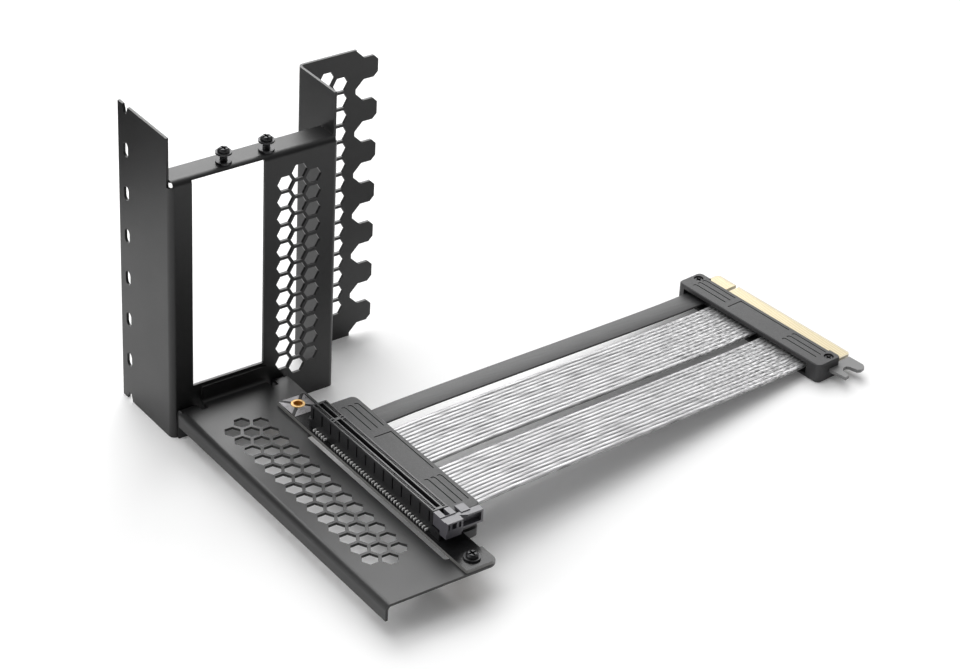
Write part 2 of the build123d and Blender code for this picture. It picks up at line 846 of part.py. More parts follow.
def plug_plane(z):
    turn = radians(plug_turn)
    return Plane(origin=plug_place(0, 0, z), x_dir=(cos(turn), sin(turn), 0), z_dir=(0, 0, 1))


def plug_outline():
    """The plug's plan: a lobe at each end stands back a little further."""
    half = plug_length / 2
    body = Pos(plug_depth / 2, 0) * Rectangle(plug_depth, plug_length)
    for side in (-1, 1):
        body += Pos((plug_depth + plug_lobe) / 2, side * (half - plug_lobe_length / 2)) * Rectangle(
            plug_depth + plug_lobe, plug_lobe_length)
    ends = body.vertices().sort_by(Axis.Y)
    return fillet(ends[:2] + ends[-2:], plug_corner)


def plug_box(u0, u1, v0, v1, z0, z1):
    plane = plug_plane(z0)
    return extrude(plane * Pos((u0 + u1) / 2, (v0 + v1) / 2) * Rectangle(u1 - u0, v1 - v0), z1 - z0)


def plug_pocket():
    """Room for the board between both halves of the plug."""
    g = plug_clear
    half = board / 2 + g
    z = plug_split
    face = plug_board_outline(g)
    return extrude(plug_plane(z - half) * face, 2 * half)


def plug_cover_top():
    body = extrude(plug_plane(plug_split) * plug_outline(), plug_height - plug_split)
    body = chamfer(body.faces().sort_by(Axis.Z)[-1].edges(), plug_bevel)
    body -= plug_box(-1, plug_mouth_depth, -plug_mouth_front, plug_mouth_rear, plug_split - 1,
                     plug_mouth_high)
    body -= plug_pocket()
    for v in (-plug_screw_v, plug_screw_v):
        top = plug_place(plug_screw_u, v, plug_height)
        body -= cylinder(top - Vector(0, 0, plug_screw_sink), plug_screw_head / 2 + fit, 3)
        body -= cylinder(top - Vector(0, 0, plug_height), plug_screw_core / 2 + 0.25, plug_height)
    plane = plug_plane(plug_height)
    body -= grooves(plane, plug_depth, plug_length - 2)
    return body


def plug_cover_base():
    body = extrude(plug_plane(0) * plug_outline(), plug_split)
    body = chamfer(body.faces().sort_by(Axis.Z)[0].edges(), plug_bevel)
    body -= plug_box(-1, plug_mouth_depth, -plug_mouth_front, plug_mouth_rear, plug_mouth_low,
                     plug_split + 1)
    body -= plug_pocket()
    for v in (-plug_screw_v, plug_screw_v):
        body -= cylinder(plug_place(plug_screw_u, v, 1.0), plug_screw_core / 2 + fit, plug_height)
    return body


def plug_screws():
    screws = []
    for v in (-plug_screw_v, plug_screw_v):
        seat = plug_place(plug_screw_u, v, plug_height - plug_screw_sink)
        height = 1.3
        head = chamfer(top_rim(cylinder(seat, plug_screw_head / 2, height)), 0.4)
        head -= cross_recess(seat + Vector(0, 0, height), 2.6, 0.8)
        shank = cylinder(seat - Vector(0, 0, plug_screw_length), plug_screw_core / 2, plug_screw_length)
        screws.append(head + shank)
    return screws


def plug_board_outline(grow=0.0):
    """Inner strip, finger edge with its key notch, and the hook at one end."""
    end = finger_start - finger_length
    inner = plug_mouth_depth + 0.6
    shape = Pos((inner + plug_depth) / 2, 0) * Rectangle(plug_depth - inner + 0.2, 2 * 38.0)
    edge, bevel, strip = finger_edge, 1.3, plug_depth - 1.5
    shape += Polygon((strip, end), (edge - bevel, end), (edge, end + bevel), (edge, finger_start - bevel),
                     (edge - bevel, finger_start), (plug_depth + 1.2, finger_start),
                     (plug_depth + 1.2, finger_start - 3.5), (strip, finger_start - 3.5), align=None)
    base = end - hook_gap
    tip = -hook_tip
    hook = Polygon((7.2, -37.0), (7.0, -46.0), (7.7, tip), (10.4, tip + 0.4), (10.5, tip + 3.4),
                   (11.3, tip + 5.2), (12.8, tip + 6.1), (14.6, tip + 6.2), (15.7, tip + 5.1),
                   (15.9, tip + 3.9), (16.6, tip + 1.3), (18.2, tip + 0.4), (20.8, tip + 1.0),
                   (22.0, tip + 2.7), (21.8, base), (strip + 2.6, base), (strip + 2.6, -37.0), align=None)
    shape += hook
    if grow:
        return offset(shape, grow, kind=Kind.INTERSECTION)
    key = finger_start - finger_key
    shape -= Pos(edge - finger_key_depth / 2 + 0.5, key) * Rectangle(finger_key_depth + 1, finger_key_width)
    return shape - Pos(plug_screw_u, -plug_screw_v) * Circle(1.2)


def plug_board():
    return extrude(plug_plane(plug_split - board / 2) * plug_board_outline(), board)


nodes = {
    "slot_frame": slot_frame,
    "riser_tray": riser_tray,
    "tray_screws": tray_screws,
    "tray_nuts": clinch_nuts,
    "card_screws": card_screws,
    "card_screw_collars": screw_collars,
    "riser_board": riser_board,
    "ground_pads": ground_pads,
    "board_eyelet": brass_insert,
    "riser_screw": riser_screw,
    "slot_housing": slot_housing,
    "slot_contacts": slot_contacts,
    "slot_tails": slot_tails,
    "slot_latch": slot_latch,
    "latch_pin": latch_pin,
    "cable_cover_top": cable_cover_top,
    "cable_cover_base": cable_cover_base,
    "cover_screws": cover_screws,
    "side_cable": lambda: flat_cable(strip_at_slot, strip_at_plug, strip_width, strip_thick),
    "ribbon_rear": lambda: flat_cable(ribbon_rear_at_slot, ribbon_rear_at_plug, ribbon_width, ribbon_thick),
    "ribbon_front": lambda: flat_cable(ribbon_front_at_slot, ribbon_front_at_plug, ribbon_width,
                                       ribbon_thick),
    "plug_cover_top": plug_cover_top,
    "plug_cover_base": plug_cover_base,
    "plug_screws": plug_screws,
    "plug_board": plug_board,
}

for node, make in nodes.items():
    write(make(), node)
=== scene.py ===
import random
from math import cos, radians, sin

import bpy
from mathutils import Matrix, Vector


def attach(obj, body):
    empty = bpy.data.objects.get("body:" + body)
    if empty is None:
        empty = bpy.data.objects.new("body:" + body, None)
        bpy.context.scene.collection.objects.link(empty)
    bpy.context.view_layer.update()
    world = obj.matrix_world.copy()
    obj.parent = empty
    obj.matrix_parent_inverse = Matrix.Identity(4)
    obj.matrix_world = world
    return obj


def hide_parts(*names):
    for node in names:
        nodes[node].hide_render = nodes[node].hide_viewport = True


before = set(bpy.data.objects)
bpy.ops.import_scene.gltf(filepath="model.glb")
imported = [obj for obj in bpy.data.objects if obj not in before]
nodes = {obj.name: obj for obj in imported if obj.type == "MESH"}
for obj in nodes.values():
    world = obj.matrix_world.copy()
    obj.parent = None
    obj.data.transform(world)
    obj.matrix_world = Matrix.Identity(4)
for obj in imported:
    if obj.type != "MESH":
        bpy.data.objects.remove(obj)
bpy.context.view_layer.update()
mm = 0.001


# the frame's left face and the panel's front face, from which the CAD's own mm are counted
sheetCorner = {"left": -60.0, "front": 58.6}


def at(x, y, z):
    return Vector(((sheetCorner["left"] + x) * mm, (sheetCorner["front"] + y) * mm, z * mm))


# camera

cameraPlan = {
    "place": (-0.55563, -0.80526, 0.67874),
    "right": (0.813805, -0.579112, 0.048481),  # the picture's own right and down
    "down": (-0.274404, -0.456464, -0.846371),
    "lens": 106.44, "sensor": 36.0, "nearest": 0.01,
}


def addCamera():
    right = Vector(cameraPlan["right"]).normalized()
    down = Vector(cameraPlan["down"]).normalized()
    forward = right.cross(down)
    turn = Matrix((right, -down, -forward)).transposed().to_4x4()
    bpy.ops.object.camera_add()
    cam = bpy.context.object
    cam.name = "photoCamera"
    cam.matrix_world = Matrix.Translation(cameraPlan["place"]) @ turn
    cam.data.lens = cameraPlan["lens"]
    cam.data.sensor_width = cameraPlan["sensor"]
    cam.data.clip_start = cameraPlan["nearest"]
    bpy.context.scene.camera = cam
    print("camera placed")


# shader maths: a socket that can be added, scaled and compared like a number

class Value:
    def __init__(self, sheet, socket):
        self.sheet = sheet
        self.socket = socket

    def maths(self, operation, *others):
        inputs = dict(enumerate((self, *others)))
        return self.sheet.node("ShaderNodeMath", {"operation": operation}, inputs)

    def __add__(self, other):
        return self.maths("ADD", other)

    def __sub__(self, other):
        return self.maths("SUBTRACT", other)

    def __mul__(self, other):
        return self.maths("MULTIPLY", other)

    def __truediv__(self, other):
        return self.maths("DIVIDE", other)

    def __gt__(self, other):
        return self.maths("GREATER_THAN", other)

    def __lt__(self, other):
        return self.maths("LESS_THAN", other)

    def __rsub__(self, other):
        return self.sheet.node("ShaderNodeMath", {"operation": "SUBTRACT"}, {0: other, 1: self})

    __radd__ = __add__
    __rmul__ = __mul__


mixSockets = {"first": 6, "second": 7, "result": 2}  # a Mix node's colour sockets


class Sheet:
    def __init__(self, tree):
        self.tree = tree

    def node(self, kind, settings=None, inputs=None, output=0):
        made = self.tree.nodes.new(kind)
        for key, value in (settings or {}).items():
            setattr(made, key, value)
        for key, value in (inputs or {}).items():
            self.feed(made.inputs[key], value)
        return Value(self, made.outputs[output])

    def feed(self, socket, value):
        if isinstance(value, Value):
            self.tree.links.new(value.socket, socket)
        elif socket.type == "RGBA" and len(value) == 3:
            socket.default_value = (*value, 1.0)
        else:
            socket.default_value = value

    def blend(self, amount, first, second):
        inputs = {"Factor": amount, mixSockets["first"]: first, mixSockets["second"]: second}
        return self.node("ShaderNodeMix", {"data_type": "RGBA"}, inputs, mixSockets["result"])

    def band(self, value, low, high):
        inputs = {"Value": value, "From Min": low, "From Max": high}
        return self.node("ShaderNodeMapRange", {"clamp": True}, inputs)

    def part(self, vector, place):
        return self.node("ShaderNodeSeparateXYZ", {}, {0: vector}, output=place)

    def ray(self, kind):
        return self.node("ShaderNodeLightPath", output=f"Is {kind} Ray")


class Finish(Sheet):
    def __init__(self, name):
        self.material = bpy.data.materials.new(name)
        self.material.use_nodes = True
        super().__init__(self.material.node_tree)
        self.shader = self.tree.nodes["Principled BSDF"]

    def set(self, **values):
        for name, value in values.items():
            self.feed(self.shader.inputs[name.replace("_", " ")], value)

    def spot(self, kind="Object"):
        return self.node("ShaderNodeTexCoord", output=kind)

    def noise(self, size, detail, rough, stretch=(1, 1, 1), turn=0):
        inputs = {"Vector": self.spot(), "Scale": stretch, "Rotation": (0, 0, turn)}
        placed = self.node("ShaderNodeMapping", {}, inputs)
        inputs = {"Vector": placed, "Scale": 1.0 / size, "Detail": detail, "Roughness": rough}
        return self.node("ShaderNodeTexNoise", {}, inputs, output="Fac")

    def bump(self, height, distance):
        return self.node("ShaderNodeBump", {}, {"Height": height, "Distance": distance})


# finishes
# a noise is its size in metres, its detail, its roughness and, where it has one, its stretch
# Band: the values it is cut to, Share: its part in the colour, Rough: how far it moves the roughness

noiseMiddle = 0.5

powderPlan = {
    "shade": (0.0060, 0.0060, 0.0063), "dust": (0.013, 0.013, 0.0135),
    "cloud": (0.021, 3.0, 0.6), "cloudShare": 0.7,
    "scuff": (0.006, 5.0, 0.7), "scuffBand": (0.52, 0.78), "scuffShare": 0.25,
    "grain": (0.00042, 2.0, 0.55), "bump": 0.000014,
    "roughness": 0.42, "cloudRough": 0.10, "grainRough": 0.12, "shine": 0.55,
}


def powderBlack():
    plan = powderPlan
    f = Finish("powderBlack")
    cloud = f.noise(*plan["cloud"])
    grain = f.noise(*plan["grain"])
    scuff = f.band(f.noise(*plan["scuff"]), *plan["scuffBand"])
    dusty = cloud * plan["cloudShare"] + scuff * plan["scuffShare"]
    f.set(Base_Color=f.blend(dusty, plan["shade"], plan["dust"]))
    f.set(Roughness=plan["roughness"] + (cloud - noiseMiddle) * plan["cloudRough"]
          + (grain - noiseMiddle) * plan["grainRough"])
    f.set(Specular_IOR_Level=plan["shine"])
    f.set(Normal=f.bump(grain, plan["bump"]))
    return f.material


sparkPlan = {
    "grain": (0.00034, 2.5, 0.65), "coarse": (0.0011, 2.0, 0.5), "cloud": (0.018, 2.0, 0.5),
    "speckBand": (0.56, 0.72), "speckShare": 0.55, "cloudShare": 0.35,
    "coarseRough": 0.16, "speckRough": 0.10, "coarseBump": 0.7,
}
plastics = {
    "coverPlastic": {"shade": (0.032, 0.032, 0.033), "light": (0.080, 0.080, 0.082),
                     "roughness": 0.54, "shine": 0.5, "bump": 0.00004},
    "slotPlastic": {"shade": (0.012, 0.012, 0.013), "light": (0.032, 0.032, 0.034),
                    "roughness": 0.34, "shine": 0.6, "bump": 0.000016},
    "latchPlastic": {"shade": (0.070, 0.067, 0.079), "light": (0.145, 0.141, 0.158),
                     "roughness": 0.38, "shine": 0.85, "bump": 0.00004},
}


def grainedPlastic(name):
    plan = {**sparkPlan, **plastics[name]}
    f = Finish(name)
    grain = f.noise(*plan["grain"])
    coarse = f.noise(*plan["coarse"])
    cloud = f.noise(*plan["cloud"])
    specks = f.band(grain, *plan["speckBand"])
    pale = specks * plan["speckShare"] + cloud * plan["cloudShare"]
    f.set(Base_Color=f.blend(pale, plan["shade"], plan["light"]))
    f.set(Roughness=plan["roughness"] + (coarse - noiseMiddle) * plan["coarseRough"]
          - specks * plan["speckRough"])
    f.set(Specular_IOR_Level=plan["shine"])
    f.set(Normal=f.bump(grain + coarse * plan["coarseBump"], plan["bump"]))
    return f.material


metalPlan = {
    "cloud": (0.003, 4.0, 0.6), "cloudRough": 0.12, "wornBand": (0.35, 0.75),
    "grain": (0.0006, 2.0, 0.6), "grainRough": 0.14, "bump": 0.000008,
}
metals = {
    "blackenedSteel": {"shade": (0.018, 0.018, 0.02), "worn": (0.06, 0.06, 0.062),
                       "roughness": 0.34, "metallic": 0.6},
    "tinnedCopper": {"shade": (0.80, 0.80, 0.79), "worn": (0.92, 0.92, 0.91),
                     "roughness": 0.42, "metallic": 0.25},
    "padTin": {"shade": (0.20, 0.195, 0.20), "worn": (0.33, 0.32, 0.33),
               "roughness": 0.30, "metallic": 0.9},
    "contactGold": {"shade": (0.42, 0.32, 0.16), "worn": (0.60, 0.47, 0.24),
                    "roughness": 0.34, "metallic": 1.0},
    "eyeletGold": {"shade": (0.90, 0.58, 0.24), "worn": (0.96, 0.66, 0.32),
                   "roughness": 0.30, "metallic": 1.0, "grain": (0.002, 2.0, 0.6)},
    "nutBrass": {"shade": (0.62, 0.36, 0.12), "worn": (0.75, 0.5, 0.2),
                 "roughness": 0.35, "metallic": 1.0},
}


def plainMetal(name):
    plan = {**metalPlan, **metals[name]}
    f = Finish(name)
    cloud = f.noise(*plan["cloud"])
    grain = f.noise(*plan["grain"])
    f.set(Base_Color=f.blend(f.band(cloud, *plan["wornBand"]), plan["shade"], plan["worn"]))
    f.set(Metallic=plan["metallic"])
    f.set(Roughness=plan["roughness"] + (grain - noiseMiddle) * plan["grainRough"]
          + (cloud - noiseMiddle) * plan["cloudRough"])
    f.set(Normal=f.bump(grain, plan["bump"]))
    return f.material


boardPlan = {
    "shade": (0.005, 0.005, 0.0055), "light": (0.013, 0.013, 0.0135),
    "cutEdge": (0.19, 0.188, 0.182), "steep": 0.5,  # bare laminate on the faces steeper than this
    "weave": (0.0007, 1.0, 0.4, (1, 4, 1)), "bump": 0.000008,
    "cloud": (0.012, 3.0, 0.5), "cloudRough": 0.10, "roughness": 0.22, "shine": 0.3,
}


def solderMask():
    plan = boardPlan
    f = Finish("solderMaskBlack")
    weave = f.noise(*plan["weave"])
    cloud = f.noise(*plan["cloud"])
    level = f.part(f.spot("Normal"), 2).maths("ABSOLUTE")
    mask = f.blend(cloud, plan["shade"], plan["light"])
    f.set(Base_Color=f.blend(level < plan["steep"], mask, plan["cutEdge"]))
    f.set(Roughness=plan["roughness"] + (cloud - noiseMiddle) * plan["cloudRough"])
    f.set(Specular_IOR_Level=plan["shine"])
    f.set(Normal=f.bump(weave, plan["bump"]))
    return f.material


# the plug's place in mm and its turn on the floor in degrees
plugPlan = {"x": 260.5, "y": -65.7, "turn": 5.1}

# the finger edge, in mm from the plug's middle: outwards, and to the rear along the edge
fingerPlan = {
    "start": 17.2, "end": 23.5, "front": -41.2, "rear": 41.9,
    "key": 30.0, "pitch": 0.99, "gap": 0.26,
    "fade": 0.5, "margin": 1.2,  # the bare laminate begins this much before the fingers
    "gold": (0.43, 0.37, 0.24), "bare": (0.62, 0.56, 0.42),
    "hook": (0.18, 0.18, 0.18), "hookPale": (0.20, 0.20, 0.20),
    "cloud": (0.006, 3.0, 0.6), "cloudRough": 0.1,
    "roughness": 0.45, "goldRough": 0.10, "metallic": 0.9, "bump": 0.00004,
}


def edgeFingers():
    plan = fingerPlan
    f = Finish("edgeFingers")
    origin = at(plugPlan["x"], plugPlan["y"], 0)
    local = f.node("ShaderNodeVectorRotate", {"rotation_type": "Z_AXIS"},
                   {"Vector": f.spot(), "Center": origin, "Angle": -radians(plugPlan["turn"])})
    outwards = (f.part(local, 0) - origin.x) / mm
    along = (f.part(local, 1) - origin.y) / mm
    strip = ((outwards > plan["start"]) * (outwards < plan["end"])
             * (along > plan["front"]) * (along < plan["rear"]))
    phase = ((along - plan["key"]) / plan["pitch"]).maths("FRACT")
    gold = strip * (phase > plan["gap"] / 2) * (phase < 1 - plan["gap"] / 2)
    laminate = (f.band(outwards, plan["start"] - plan["fade"], plan["start"])
                * (along > plan["front"] - plan["margin"]))
    cloud = f.noise(*plan["cloud"])
    mask = f.blend(cloud, plan["hookPale"], plan["hook"])
    bare = f.blend(laminate, mask, plan["bare"])
    f.set(Base_Color=f.blend(gold, bare, plan["gold"]))
    f.set(Metallic=gold * plan["metallic"])
    f.set(Roughness=plan["roughness"] - gold * plan["goldRough"]
          + (cloud - noiseMiddle) * plan["cloudRough"])
    f.set(Normal=f.bump(gold, plan["bump"]))
    return f.material


# smooth strands at the slot, and a braid that shows more and more towards the plug
foilPlan = {
    "turn": 7.8,  # degrees from X in which the strands run
    "braidBetween": (0.120, 0.185), "braidShare": 0.7,
    "streak": (0.0012, 2.0, 0.5, (0.03, 1, 1)), "streakBand": (0.30, 0.62),
    "braid": (0.0006, 2.0, 0.6, (0.24, 1, 1)), "braidBand": (0.40, 0.60),
    "crinkle": (0.0016, 3.0, 0.6, (0.5, 1, 1)), "cloud": (0.03, 2.0, 0.5, (0.5, 2, 1)),
    "smoothDark": (0.21, 0.21, 0.214), "smoothLight": (0.50, 0.50, 0.505),
    "wovenDark": (0.11, 0.11, 0.113), "wovenLight": (0.76, 0.76, 0.765),
    "metallic": 0.45, "roughness": 0.36, "cloudRough": 0.2,
    "bump": 0.00012, "smoothCrinkle": 0.15, "braidBump": 0.5,
}


def silverFoil():
    plan = foilPlan
    f = Finish("silverFoil")
    turn = -radians(plan["turn"])
    nearPlug = f.band(f.part(f.spot(), 0), *plan["braidBetween"])
    streak = f.noise(*plan["streak"], turn=turn)
    braid = f.band(f.noise(*plan["braid"], turn=turn), *plan["braidBand"])
    crinkle = f.noise(*plan["crinkle"], turn=turn)
    cloud = f.noise(*plan["cloud"], turn=turn)
    smooth = f.blend(f.band(streak, *plan["streakBand"]), plan["smoothDark"], plan["smoothLight"])
    woven = f.blend(braid, plan["wovenDark"], plan["wovenLight"])
    f.set(Base_Color=f.blend(nearPlug * plan["braidShare"], smooth, woven))
    f.set(Metallic=plan["metallic"])
    f.set(Roughness=plan["roughness"] + (cloud - noiseMiddle) * plan["cloudRough"])
    f.set(Normal=f.bump(crinkle * (plan["smoothCrinkle"] + nearPlug)
                        + braid * nearPlug * plan["braidBump"], plan["bump"]))
    return f.material


jacketPlan = {
    "dark": (0.026, 0.026, 0.027), "light": (0.055, 0.055, 0.056),
    "grain": (0.0006, 2.0, 0.6), "lines": (0.0012, 2.0, 0.5, (0.05, 1, 1)),
    "roughness": 0.5, "grainRough": 0.16, "bump": 0.00002,
}


def jacketBlack():
    plan = jacketPlan
    f = Finish("jacketBlack")
    grain = f.noise(*plan["grain"])
    lines = f.noise(*plan["lines"], turn=-radians(foilPlan["turn"]))
    f.set(Base_Color=f.blend(lines, plan["dark"], plan["light"]))
    f.set(Roughness=plan["roughness"] + (grain - noiseMiddle) * plan["grainRough"])
    f.set(Normal=f.bump(grain + lines, plan["bump"]))
    return f.material


dressPlan = {
    "powderBlack": ("slot_frame", "riser_tray"),
    "coverPlastic": ("cable_cover_top", "cable_cover_base", "plug_cover_top", "plug_cover_base"),
    "slotPlastic": ("slot_housing",),
    "latchPlastic": ("slot_latch",),
    "blackenedSteel": ("tray_screws", "card_screws", "card_screw_collars", "riser_screw",
                       "latch_pin", "cover_screws", "plug_screws"),
    "tinnedCopper": ("slot_tails",),
    "padTin": ("ground_pads",),
    "contactGold": ("slot_contacts",),
    "eyeletGold": ("board_eyelet",),
    "nutBrass": ("tray_nuts",),
    "solderMaskBlack": ("riser_board",),
    "edgeFingers": ("plug_board",),
}


def dressNodes():
    finishes = {"powderBlack": powderBlack()}
    for name in plastics:
        finishes[name] = grainedPlastic(name)
    for name in metals:
        finishes[name] = plainMetal(name)
    finishes["solderMaskBlack"] = solderMask()
    finishes["edgeFingers"] = edgeFingers()
    for name, pieces in dressPlan.items():
        for piece in pieces:
            slots = nodes[piece].data.materials
            slots.clear()
            slots.append(finishes[name])
    print("finishes on", sum(len(pieces) for pieces in dressPlan.values()), "CAD pieces")
    return finishes


# small trim: the bars between the slot's contacts and the card screws' threads

def startShape():
    bpy.ops.object.select_all(action="DESELECT")


def pick(piece):
    startShape()
    piece.select_set(True)
    bpy.context.view_layer.objects.active = piece


def coat(piece, material):
    piece.data.materials.clear()
    piece.data.materials.append(material)


def settle(piece, material):
    pick(piece)
    bpy.ops.object.transform_apply(location=True, rotation=True, scale=True)
    coat(piece, material)
    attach(piece, "bracket")


def joined(pieces, name):
    pick(pieces[0])
    for piece in pieces:
        piece.select_set(True)
    bpy.ops.object.join()
    whole = bpy.context.object
    whole.name = name
    return whole


def copyTo(piece, move):
    twin = piece.copy()
    twin.data = piece.data.copy()
    twin.location = piece.location + move
    bpy.context.collection.objects.link(twin)
    return twin


# a bar for each contact, and a thin rib along each row of bars, in mm
ladderPlan = {
    "x": 45.2, "offset": 2.3,  # the slot's middle, and how far off it each trough lies
    "rows": ((-45.75, 10), (-59.525, 70)), "pitch": 1.0,  # where a row starts, and its bars
    "top": 27.5, "below": 0.08, "soften": 0.06,
    "reach": 1.4, "bar": 0.30, "tall": 1.5,
    "spine": 0.20, "spineTall": 1.0,
}


def ladderBar(place, size):
    # a bar with all its edges broken
    startShape()
    bpy.ops.mesh.primitive_cube_add(size=1, location=place, scale=[side * mm for side in size])
    bar = bpy.context.object
    bpy.ops.object.transform_apply(location=False, rotation=False, scale=True)
    bpy.ops.object.mode_set(mode="EDIT")
    bpy.ops.mesh.select_all(action="SELECT")
    bpy.ops.mesh.bevel(offset=ladderPlan["soften"] * mm, segments=1)
    bpy.ops.object.mode_set(mode="OBJECT")
    return bar


def addLadder(material):
    plan = ladderPlan
    top = plan["top"] - plan["below"]
    rung = ladderBar(at(plan["x"], 0, top - plan["tall"] / 2),
                     (plan["reach"], plan["bar"], plan["tall"]))
    bars = []
    for side in (-1, 1):
        for start, count in plan["rows"]:
            for k in range(count):
                move = Vector((side * plan["offset"], start - k * plan["pitch"], 0)) * mm
                bars.append(copyTo(rung, move))
            middle = start - (count - 1) / 2 * plan["pitch"]
            spine = at(plan["x"] + side * plan["offset"], middle, top - plan["spineTall"] / 2)
            bars.append(ladderBar(spine, (plan["spine"], count * plan["pitch"], plan["spineTall"])))
    bpy.data.objects.remove(rung)
    settle(joined(bars, "slotBars"), material)
    print("slot bars", len(bars))


# ridges round the two card screws, in mm; half is the height from a root to the next crest
threadPlan = {
    "places": ((28.1, 5.0), (48.42, 5.0)), "base": 123.8,
    "half": 0.395, "turns": 5, "outer": 1.66, "inner": 1.36, "sides": 28,
}


def addThreads(material):
    plan = threadPlan
    wide = plan["outer"] / plan["inner"]
    rise = {"value": (0, 0, plan["half"] * mm)}
    sleeves = []
    for x, y in plan["places"]:
        place = at(x, y, plan["base"])
        startShape()
        bpy.ops.mesh.primitive_circle_add(vertices=plan["sides"], radius=plan["inner"] * mm,
                                          location=place)
        sleeve = bpy.context.object
        bpy.ops.object.mode_set(mode="EDIT")
        bpy.ops.mesh.select_all(action="SELECT")
        for k in range(2 * plan["turns"]):
            bpy.ops.mesh.extrude_region_move(TRANSFORM_OT_translate=rise)
            share = wide if k % 2 == 0 else 1 / wide
            bpy.ops.transform.resize(value=(share, share, 1), center_override=place)
        bpy.ops.mesh.select_all(action="SELECT")
        bpy.ops.mesh.normals_make_consistent(inside=False)
        bpy.ops.object.mode_set(mode="OBJECT")
        sleeves.append(sleeve)
    settle(joined(sleeves, "cardScrewThreads"), material)
    print("threads cut")


# flat cables, in mm, but for their length in metres
# a step is a share of the way from the slot to the plug, and the share of the fall done by there

cablePlan = {
    "slotX": 58.2, "slotHeight": 20.1, "plugDepth": 4.2, "plugHeight": 4.6,
    "steps": ((0.0, 0.0), (0.05, 0.0), (0.28, 0.24), (0.72, 0.76), (0.95, 1.0), (1.0, 1.0)),
    "order": 3, "smooth": 12, "crease": 50,
}
cables = {
    "sideCable": {"node": "side_cable", "atSlot": 56.8, "atPlug": 34.6,
                  "width": 11.4, "thick": 0.9, "strands": 0, "length": 0.2055},
    "ribbonRear": {"node": "ribbon_rear", "atSlot": 82.0, "atPlug": 11.0,
                   "width": 28.6, "thick": 1.6, "strands": 13, "length": 0.208},
    "ribbonFront": {"node": "ribbon_front", "atSlot": 115.2, "atPlug": -21.8,
                    "width": 28.6, "thick": 1.6, "strands": 13, "length": 0.211},
}


def cableRoute(plan):
    turn = radians(plugPlan["turn"])
    begin = at(cablePlan["slotX"], -plan["atSlot"], cablePlan["slotHeight"])
    depth, side = cablePlan["plugDepth"], plan["atPlug"]
    end = at(plugPlan["x"] + depth * cos(turn) - side * sin(turn),
             plugPlan["y"] + depth * sin(turn) + side * cos(turn), cablePlan["plugHeight"])
    fall = begin.z - end.z
    route = []
    for along, down in cablePlan["steps"]:
        spot = begin.lerp(end, along)
        spot.z = begin.z - down * fall
        route.append(spot)
    return route


# cross-sections, both clockwise, so that the cables' faces point outwards; angles in degrees
sectionPlan = {
    "strandAngles": (172, 150, 120, 90, 60, 30, 8), "groove": 0.5,  # the share of a wire that is round
    "heights": (0.86, 1.0), "seed": 5,  # the lowest and highest wire, as a share of the thickness
    "edgeAngles": (-90, -45, 0, 45, 90),
}


def strandSpots(width, thick, count):
    # a row of round wires, each a little higher or lower than the next
    wire = width / count
    groove = sectionPlan["groove"]
    rng = random.Random(sectionPlan["seed"])
    heights = [rng.uniform(*sectionPlan["heights"]) for _ in range(count)]
    spots = []
    for face in (1, -1):
        for k in range(count):
            middle = (k + 0.5) * wire - width / 2
            for angle in sectionPlan["strandAngles"]:
                x = middle + 0.5 * wire * cos(radians(angle))
                y = 0.5 * thick * heights[k] * (1 - groove + groove * sin(radians(angle)))
                spots.append((face * x, face * y))
    return spots


def jacketSpots(width, thick):
    # one flat strip with round edges
    r = thick / 2
    spots = []
    for side, start in ((1, 0), (-1, 180)):
        centre = side * (width / 2 - r)
        for angle in sectionPlan["edgeAngles"]:
            turned = radians(start + angle)
            spots.append((centre + r * cos(turned), r * sin(turned)))
    return spots[::-1]


def addSection(name, plan):
    width, thick = plan["width"] * mm, plan["thick"] * mm
    if plan["strands"]:
        spots = strandSpots(width, thick, plan["strands"])
    else:
        spots = jacketSpots(width, thick)
    outline = bpy.data.curves.new(name + "Section", "CURVE")
    outline.dimensions = "2D"
    line = outline.splines.new("POLY")
    line.points.add(len(spots) - 1)
    for point, (x, y) in zip(line.points, spots):
        point.co = (x, y, 0, 1)
    line.use_cyclic_u = True
    section = bpy.data.objects.new(name + "Section", outline)
    bpy.context.collection.objects.link(section)
    return section


def addCable(name, plan, material):
    route = cableRoute(plan)
    curve = bpy.data.curves.new(name, "CURVE")
    curve.dimensions = "3D"
    curve.resolution_u = cablePlan["smooth"]
    line = curve.splines.new("NURBS")
    line.points.add(len(route) - 1)
    for point, spot in zip(line.points, route):
        point.co = (*spot, 1)
    line.order_u = cablePlan["order"]
    line.use_endpoint_u = True
    cable = bpy.data.objects.new(name, curve)
    bpy.context.collection.objects.link(cable)
    centre = bpy.data.meshes.new_from_object(cable)
    section = addSection(name, plan)
    curve.twist_mode = "Z_UP"
    curve.bevel_mode = "OBJECT"
    curve.bevel_object = section
    curve.use_fill_caps = True
    pick(cable)
    bpy.ops.object.convert(target="MESH")
    cable = bpy.context.object
    bpy.data.objects.remove(section)
    coat(cable, material)
    bpy.ops.object.shade_smooth_by_angle(angle=radians(cablePlan["crease"]))
    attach(cable, "bracket")
    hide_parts(plan["node"])


def addCables():
    foil = silverFoil()
    jacket = jacketBlack()
    for name, plan in cables.items():
        addCable(name, plan, foil if plan["strands"] else jacket)
    print("cables laid")


# floor, lamps and background

stagePlan = {"floor": 14.0, "white": (0.93, 0.93, 0.93), "roughness": 0.7, "lift": 0.06}


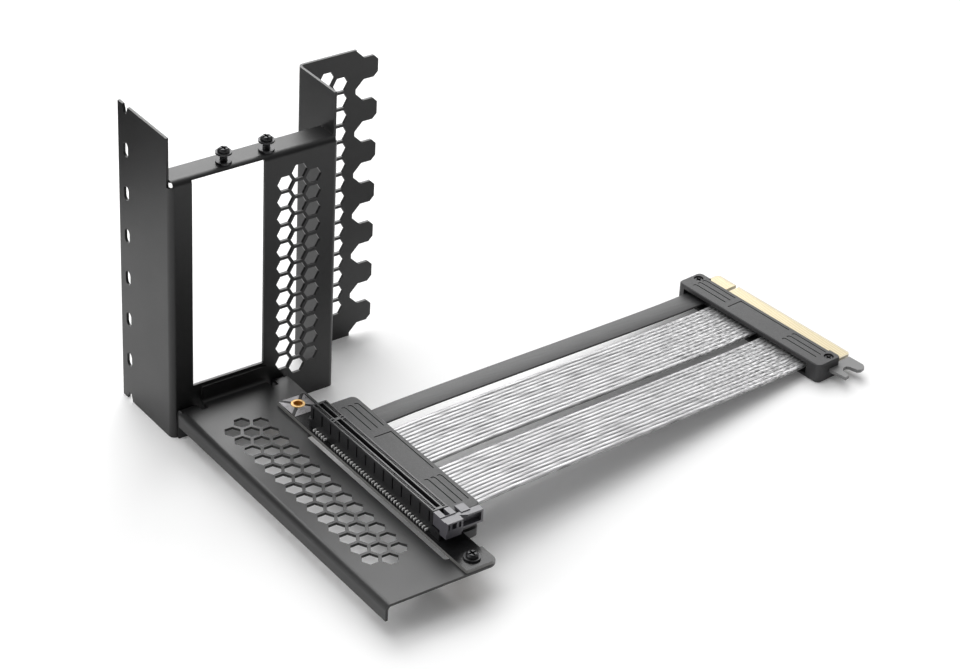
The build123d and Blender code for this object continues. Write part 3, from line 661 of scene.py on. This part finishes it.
def addFloor():
    # the lift is only seen, by the eye and in reflections, and lights nothing
    startShape()
    bpy.ops.mesh.primitive_plane_add(size=stagePlan["floor"], location=(0, 0, 0))
    floor = bpy.context.object
    floor.name = "paleFloor"
    f = Finish("paleFloor")
    f.set(Base_Color=stagePlan["white"])
    f.set(Roughness=stagePlan["roughness"])
    seen = f.ray("Camera") + f.ray("Glossy") + f.ray("Transmission")
    f.set(Emission_Color=f.blend(seen.maths("MINIMUM", 1), (0, 0, 0), (1, 1, 1)))
    f.set(Emission_Strength=stagePlan["lift"])
    coat(floor, f.material)
    print("floor laid")


flagPlan = {
    "place": (-0.27, 0.25, 0.16), "wide": 0.46, "tall": 0.32,
    "shade": (0.01, 0.01, 0.01), "roughness": 1.0,
    "hiddenFrom": ("camera", "diffuse", "transmission", "shadow"),
}


def addFlag():
    # a black card behind on the left, which only reflections show
    plan = flagPlan
    bpy.ops.mesh.primitive_plane_add(size=1, location=plan["place"], rotation=(radians(90), 0, 0))
    flag = bpy.context.object
    flag.name = "blackFlag"
    flag.scale = (plan["wide"], plan["tall"], 1)
    for rays in plan["hiddenFrom"]:
        setattr(flag, "visible_" + rays, False)
    f = Finish("flagBlack")
    f.set(Base_Color=plan["shade"])
    f.set(Roughness=plan["roughness"])
    coat(flag, f.material)
    print("flag up")


lightPlan = {
    "backBox": {"place": (0.7, 1.6, 1.3), "size": 1.8, "power": 37},
    "topBox": {"place": (-0.4, 0.45, 2.0), "size": 1.6, "power": 14},
    "leftBox": {"place": (-1.7, 0.5, 0.8), "size": 1.1, "power": 12},
}
lampAim = (0.05, 0.0, 0.03)


def addLamps():
    for name, plan in lightPlan.items():
        bpy.ops.object.light_add(type="AREA", location=plan["place"])
        lamp = bpy.context.object
        lamp.name = name
        lamp.data.shape = "SQUARE"
        lamp.data.size = plan["size"]
        lamp.data.energy = plan["power"]
        aim = Vector(lampAim) - lamp.location
        lamp.rotation_euler = aim.to_track_quat("-Z", "Y").to_euler()
    print("lamps", len(lightPlan))


# the room's strength from front to back: low to high as light, dim to 1 in reflections
skyPlan = {
    "low": 0.20, "high": 0.70, "dim": 0.04,
    "sideways": 0.6, "ahead": 0.8, "between": (-0.35, 0.65),  # the way to the back, and its change
}


def addBackground():
    # white to the camera; metal sees it behind the object, and a dim room in front
    plan = skyPlan
    world = bpy.data.worlds.new("studio")
    bpy.context.scene.world = world
    world.use_nodes = True
    sheet = Sheet(world.node_tree)
    toward = sheet.node("ShaderNodeTexCoord", output="Generated")
    way = sheet.part(toward, 0) * plan["sideways"] + sheet.part(toward, 1) * plan["ahead"]
    back = sheet.band(way, *plan["between"])
    behind = plan["dim"] + back * (1 - plan["dim"])
    around = plan["low"] + back * (plan["high"] - plan["low"])
    camera = sheet.ray("Camera")
    mirrored = (sheet.ray("Glossy") + sheet.ray("Transmission")).maths("MINIMUM", 1)
    other = mirrored * behind + (1 - mirrored) * around
    background = world.node_tree.nodes["Background"]
    sheet.feed(background.inputs["Color"], (1, 1, 1))
    sheet.feed(background.inputs["Strength"], camera + (1 - camera) * other)
    bpy.context.scene.view_settings.view_transform = "Standard"
    print("background white")


addCamera()
finishes = dressNodes()
addLadder(finishes["slotPlastic"])
addThreads(finishes["blackenedSteel"])
addCables()
addFloor()
addFlag()
addLamps()
addBackground()
